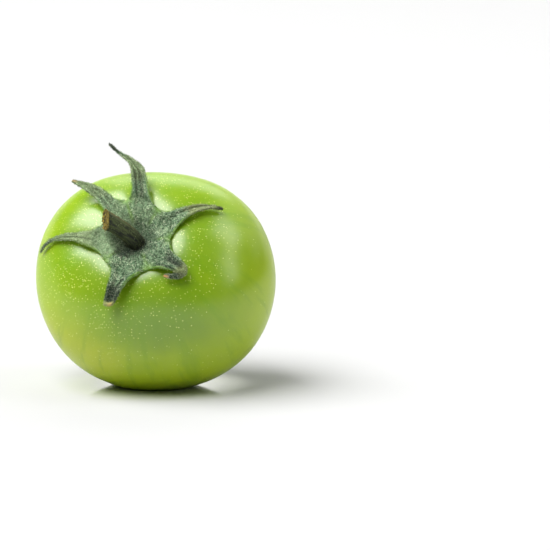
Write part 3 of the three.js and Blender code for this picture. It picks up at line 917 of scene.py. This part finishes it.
def skinFinish():
    look = skinLook
    finish = Finish("skin", Specular_IOR_Level=0.05, Coat_IOR=1.65, Coat_Roughness=look["coatRoughness"],
                    Subsurface_Weight=0.35, Subsurface_Radius=(1.3, 1.5, 0.3), Subsurface_Scale=0.0025)
    place = finish.vector("upright")
    x = finish.node("ShaderNodeSeparateXYZ", {}, {0: place}, "X")
    y, z = x.beside("Y"), x.beside("Z")
    fromAxis = (x * x + y * y) ** 0.5
    slow = finish.grain(place, look["slowScale"], detail=3)
    # streaks run down from the stem: their place is drawn in by its distance from the axis
    apart = fromAxis + look["streakHub"]
    streakPlace = {0: x / apart * look["streakSpread"], 1: y / apart * look["streakSpread"],
                   2: z * look["streakLength"]}
    streakPlace = finish.node("ShaderNodeCombineXYZ", {}, streakPlace)
    streaks = finish.grain(streakPlace, look["streakScale"], detail=4, roughness=0.6)
    # side, shoulder and blossom end, then the furrows' deeper green that is partly painted shade, a
    # yellower, lighter patch that is partly painted bounce light, streaks and a bluish cloud
    toShoulder = finish.step(z + (slow - 0.5) * look["shoulderSway"], *look["shoulderReach"])
    toBlossom = finish.step(z * -1 + (slow - 0.5) * look["blossomSway"], *look["blossomReach"])
    colour = finish.blend(toShoulder, look["side"], look["shoulder"])
    colour = finish.blend(toBlossom, colour, look["blossom"])
    # the furrows are painted a deeper green: partly the skin's own tone, partly painted shade
    furrow = finish.value("furrow") * (streaks * look["furrowStreaks"] + look["furrowLeast"])
    colour = finish.blend(furrow, colour, look["furrow"])
    # a yellower, lighter patch: partly the skin's ripening, partly painted bounce light
    colour = patched(finish, colour, (x, y, z), slow, look["ripeningAndBounceLight"])
    streaked = finish.step(streaks, *look["streakFade"]) * look["streakShare"]
    colour = finish.blend(streaked, colour, look["furrow"])
    colour = patched(finish, colour, (x, y, z), streaks, look["bluish"])
    # the specks: one in some of the cells, of a size of its own
    cells = finish.node("ShaderNodeTexVoronoi", {"feature": "F1"},
                        {"Vector": place, "Scale": 1 / look["speckCell"]}, "Distance")
    random = finish.node("ShaderNodeSeparateColor", {}, {0: cells.beside("Color")})
    crowd = fromAxis + (slow - 0.5) * look["crowdSway"] - z * look["crowdDown"] + x * look["crowdAside"]
    crowd = crowd + toBlossom * look["crowdBlossom"]
    crowd = finish.step(crowd, *look["crowdReach"], *look["crowdShare"])
    radius = look["speckRadius"] / look["speckCell"]
    size = finish.step(random, 0, 1, look["speckSmallest"]) * radius
    speck = finish.step(cells / size, look["speckEdge"], 1, 1, 0)
    chosen = finish.node("ShaderNodeMath", {"operation": "LESS_THAN"}, {0: random.beside(1), 1: crowd})
    colour = finish.blend(speck * chosen * look["speckShare"], colour, look["speck"])
    fine = finish.grain(place, look["fineScale"])
    coat = finish.step(finish.facing(), *look["coatFade"], look["coat"], look["coatEdge"])
    return finish.feed(Base_Color=colour, Normal=finish.bump(fine, strength=0.12, distance=0.0002),
                       Roughness=look["roughness"] + fine * look["roughnessSpread"], Coat_Weight=coat)


sepalLook = {
    "deep": shade("1e3020"),
    "felt": shade("6e906c"),
    "feltFade": (0.4, 0.56),
    "pale": shade("b2caa0"),
    "paleFade": (0.52, 0.66),
    "fibreScale": 1.9,
    "patchScale": 0.35,
    "patchShare": 0.3,
    "darkShare": 0.85,
}

# The tones of the sepals in the order they are laid on: colour and share. Each finish has its darkShare.
sepalTones = {
    "pale": (shade("b6d09c"), 0.6),
    "bright": (shade("8cba3c"), 0.75),
    "olive": (shade("a2a668"), 0.6),
    # dark also carries the painted shade of the sunk creases and of the hollow round the stem's foot
    "dark": (shade("1e2220"), None),
    "pink": (shade("e2b47c"), 1.0),
}


def toned(finish, colour, darkShare):
    for name, (tone, share) in sepalTones.items():
        share = darkShare if share is None else share
        colour = finish.blend(finish.value(name) * share, colour, tone)
    return colour


def sepalFinish():
    look = sepalLook
    finish = Finish("sepalFelt", Roughness=0.85, Specular_IOR_Level=0.25)
    place = finish.vector("upright")
    fibres = finish.grain(place, look["fibreScale"], detail=3, roughness=0.7, distortion=1.5)
    patches = finish.grain(place, look["patchScale"])
    colour = finish.blend(finish.step(fibres, *look["feltFade"]), look["deep"], look["felt"])
    paler = finish.step(fibres + (patches - 0.5) * look["patchShare"], *look["paleFade"])
    colour = finish.blend(paler, colour, look["pale"])
    return finish.feed(Base_Color=toned(finish, colour, look["darkShare"]),
                       Normal=finish.bump(fibres, strength=0.6, distance=0.0003))


hairLook = {
    "root": shade("12220e"),
    "dull": shade("5e8056"),
    "dullFade": (0.3, 0.6),
    "pale": shade("e4eecb"),
    "paleFade": (0.66, 0.92),
    "darkShare": 0.62,
    "stemDull": shade("3a4426"),
    "stemPale": shade("8d9668"),
}


def hairFinish():
    look = hairLook
    finish = Finish("sepalHair", Roughness=0.6, Specular_IOR_Level=0.3)
    strand = finish.value("strand")
    colour = finish.blend(finish.step(strand, *look["dullFade"]), look["root"], look["dull"])
    colour = finish.blend(finish.step(strand, *look["paleFade"]), colour, look["pale"])
    return finish.feed(Base_Color=toned(finish, colour, look["darkShare"]))


def stemHairFinish():
    finish = Finish("stemHair", Roughness=0.6, Specular_IOR_Level=0.3)
    colour = finish.blend(finish.value("strand"), hairLook["stemDull"], hairLook["stemPale"])
    return finish.feed(Base_Color=colour)


stemLook = {
    "groove": shade("0d1309"),
    "bark": shade("444f27"),
    "barkFade": (0.38, 0.62),
    "grainScale": 1.6,
    "fleck": shade("6f7a46"),
    "fleckFade": (0.62, 0.75),
    "fleckShare": 0.12,
    "fineScale": 5,
    "brown": shade("6a5a2a"),
    "brownShare": 0.7,
    # painted shade where the stem's foot sits in its seat
    "foot": shade("0c120a"),
    "footShare": 0.75,
    "cork": ((0.38, shade("1c1808")), (0.52, shade("6a5c14")), (0.66, shade("ac9436"))),
    "corkScale": 1.8,
}


def stemFinish():
    look = stemLook
    finish = Finish("stemBark", Roughness=0.7, Specular_IOR_Level=0.35)
    place = finish.vector("upright")
    grain = finish.grain(finish.vector("bark"), look["grainScale"], detail=4, roughness=0.7)
    fine = finish.grain(place, look["fineScale"], detail=3)
    colour = finish.blend(finish.step(grain, *look["barkFade"]), look["groove"], look["bark"])
    flecks = finish.step(fine, *look["fleckFade"]) * look["fleckShare"]
    colour = finish.blend(flecks, colour, look["fleck"])
    colour = finish.blend(finish.value("brown") * look["brownShare"], colour, look["brown"])
    # painted shade at the stem's foot, in the calyx's hollow
    colour = finish.blend(finish.value("foot") * look["footShare"], colour, look["foot"])
    crumbs = finish.grain(place, look["corkScale"], detail=3, roughness=0.7)
    corky = finish.node("ShaderNodeValToRGB", {"stops": look["cork"]}, {0: crumbs})
    colour = finish.blend(finish.value("cork"), colour, corky)
    return finish.feed(Base_Color=colour, Normal=finish.bump(fine, strength=0.5, distance=0.0003))


def dress(piece, finish, node=None):
    piece.data.materials.clear()
    piece.data.materials.append(finish)
    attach(piece, "root")
    if node:
        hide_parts(node)


dress(skinPiece, skinFinish(), "fruit")
dress(calyxPiece, sepalFinish(), "calyx")
dress(stemPiece, stemFinish(), "stem")
dress(calyxHairs, hairFinish())
dress(stemHairs, stemHairFinish())
print("finishes done")


# The table, the studio lights and the camera.

table = {
    "half": 12.0,
    "colour": shade("c0c0c0"),
    "roughness": 0.12,
    "coatRoughness": 0.08,
    # painted bounce light: near the fruit the table is painted paler and greener, which also tints its
    # mirror there
    "paintedBounceColour": shade("f2f8d8"),
    "metalShare": 0.6,
    "mirrorReach": (0.009, 0.03),  # the table mirrors the fruit only this near to it, seen from low down
    "mirrorLeast": 0.004,
    "mirrorFacing": (0.6, 0.84),
}

# Softboxes round the fruit's middle: name, turn from the camera's side towards the right, rise, distance,
# width, height, brightness of the cloth.
softboxes = (
    ("key", -74, 61, 7.5, 9.8, 5.2, 7.9),
    ("side", 64, 27, 9, 2.6, 4, 2.6),
    ("upper", 88, 50, 9, 3.4, 4, 3.6),
    ("right", 130, 32, 9, 7, 6, 0.7),
    ("back", 174, 38, 8.5, 6, 4, 2.6),
    ("rim", -120, 3, 9, 5, 3, 0.7),
    ("wash", 180, 9.5, 9.5, 20, 2.6, 1.1),
)
roomBrightness = 0.1


def makeTable():
    half = table["half"]
    corners = np.array([(-half, -half, 0), (half, -half, 0), (half, half, 0), (-half, half, 0)])
    piece = makeMesh("tableTop", corners, [(0, 1, 2, 3)], smooth=False)
    finish = Finish("tableTop", Roughness=table["roughness"], Specular_IOR_Level=0,
                    Coat_Roughness=table["coatRoughness"], Coat_IOR=1.6)
    spot = finish.node("ShaderNodeTexCoord", {}, {}, "Object")
    fromFruit = finish.node("ShaderNodeVectorMath", {"operation": "LENGTH"}, {0: spot}, "Value")
    near = finish.step(fromFruit, *table["mirrorReach"], 1.0, table["mirrorLeast"])
    mirror = near * finish.step(finish.facing(), *table["mirrorFacing"])
    # painted bounce light: near the fruit the table is painted paler and greener
    colour = finish.blend(mirror, table["colour"], table["paintedBounceColour"])
    finish.feed(Base_Color=colour, Coat_Weight=mirror, Metallic=mirror * table["metalShare"])
    piece.data.materials.append(finish.material)


def fruitMiddle():
    return Vector((offset[0] * metre, offset[1] * metre, lie["middleHeight"] * metre))


def addLights(middle):
    for name, turn, rise, distance, width, height, brightness in softboxes:
        light = bpy.data.lights.new(name, "AREA")
        light.shape = "RECTANGLE"
        light.size, light.size_y = width, height
        light.energy = brightness * math.pi * width * height
        lamp = bpy.data.objects.new(name, light)
        out = towards(turn, rise)
        lamp.location = middle + out * distance
        lamp.rotation_euler = out.to_track_quat("Z", "Y").to_euler()
        bpy.context.scene.collection.objects.link(lamp)
    world = bpy.data.worlds.new("studio")
    world.use_nodes = True
    room = world.node_tree.nodes["Background"]
    room.inputs["Color"].default_value = (1, 1, 1, 1)
    room.inputs["Strength"].default_value = roomBrightness
    bpy.context.scene.world = world


camera = {
    "distance": 850,
    "rise": 8.5,
    "aimRight": 34.14,
    "aimUp": 1.31,
    "lens": 194.9,
    "sensor": 36,
    "farthest": 40,
}


def addCamera(middle):
    lens = bpy.data.cameras.new("camera")
    lens.lens, lens.sensor_width = camera["lens"], camera["sensor"]
    lens.clip_end = camera["farthest"]
    viewer = bpy.data.objects.new("camera", lens)
    rise = math.radians(camera["rise"])
    back = towards(0, camera["rise"])
    up = Vector((0, math.sin(rise), math.cos(rise)))
    aim = middle + (Vector((1, 0, 0)) * camera["aimRight"] + up * camera["aimUp"]) * metre
    viewer.location = middle + back * camera["distance"] * metre
    viewer.rotation_euler = (viewer.location - aim).to_track_quat("Z", "Y").to_euler()
    bpy.context.scene.collection.objects.link(viewer)
    bpy.context.scene.camera = viewer


makeTable()
addLights(fruitMiddle())
addCamera(fruitMiddle())
bpy.context.scene.view_settings.view_transform = "Standard"
print("table, lights and camera done")
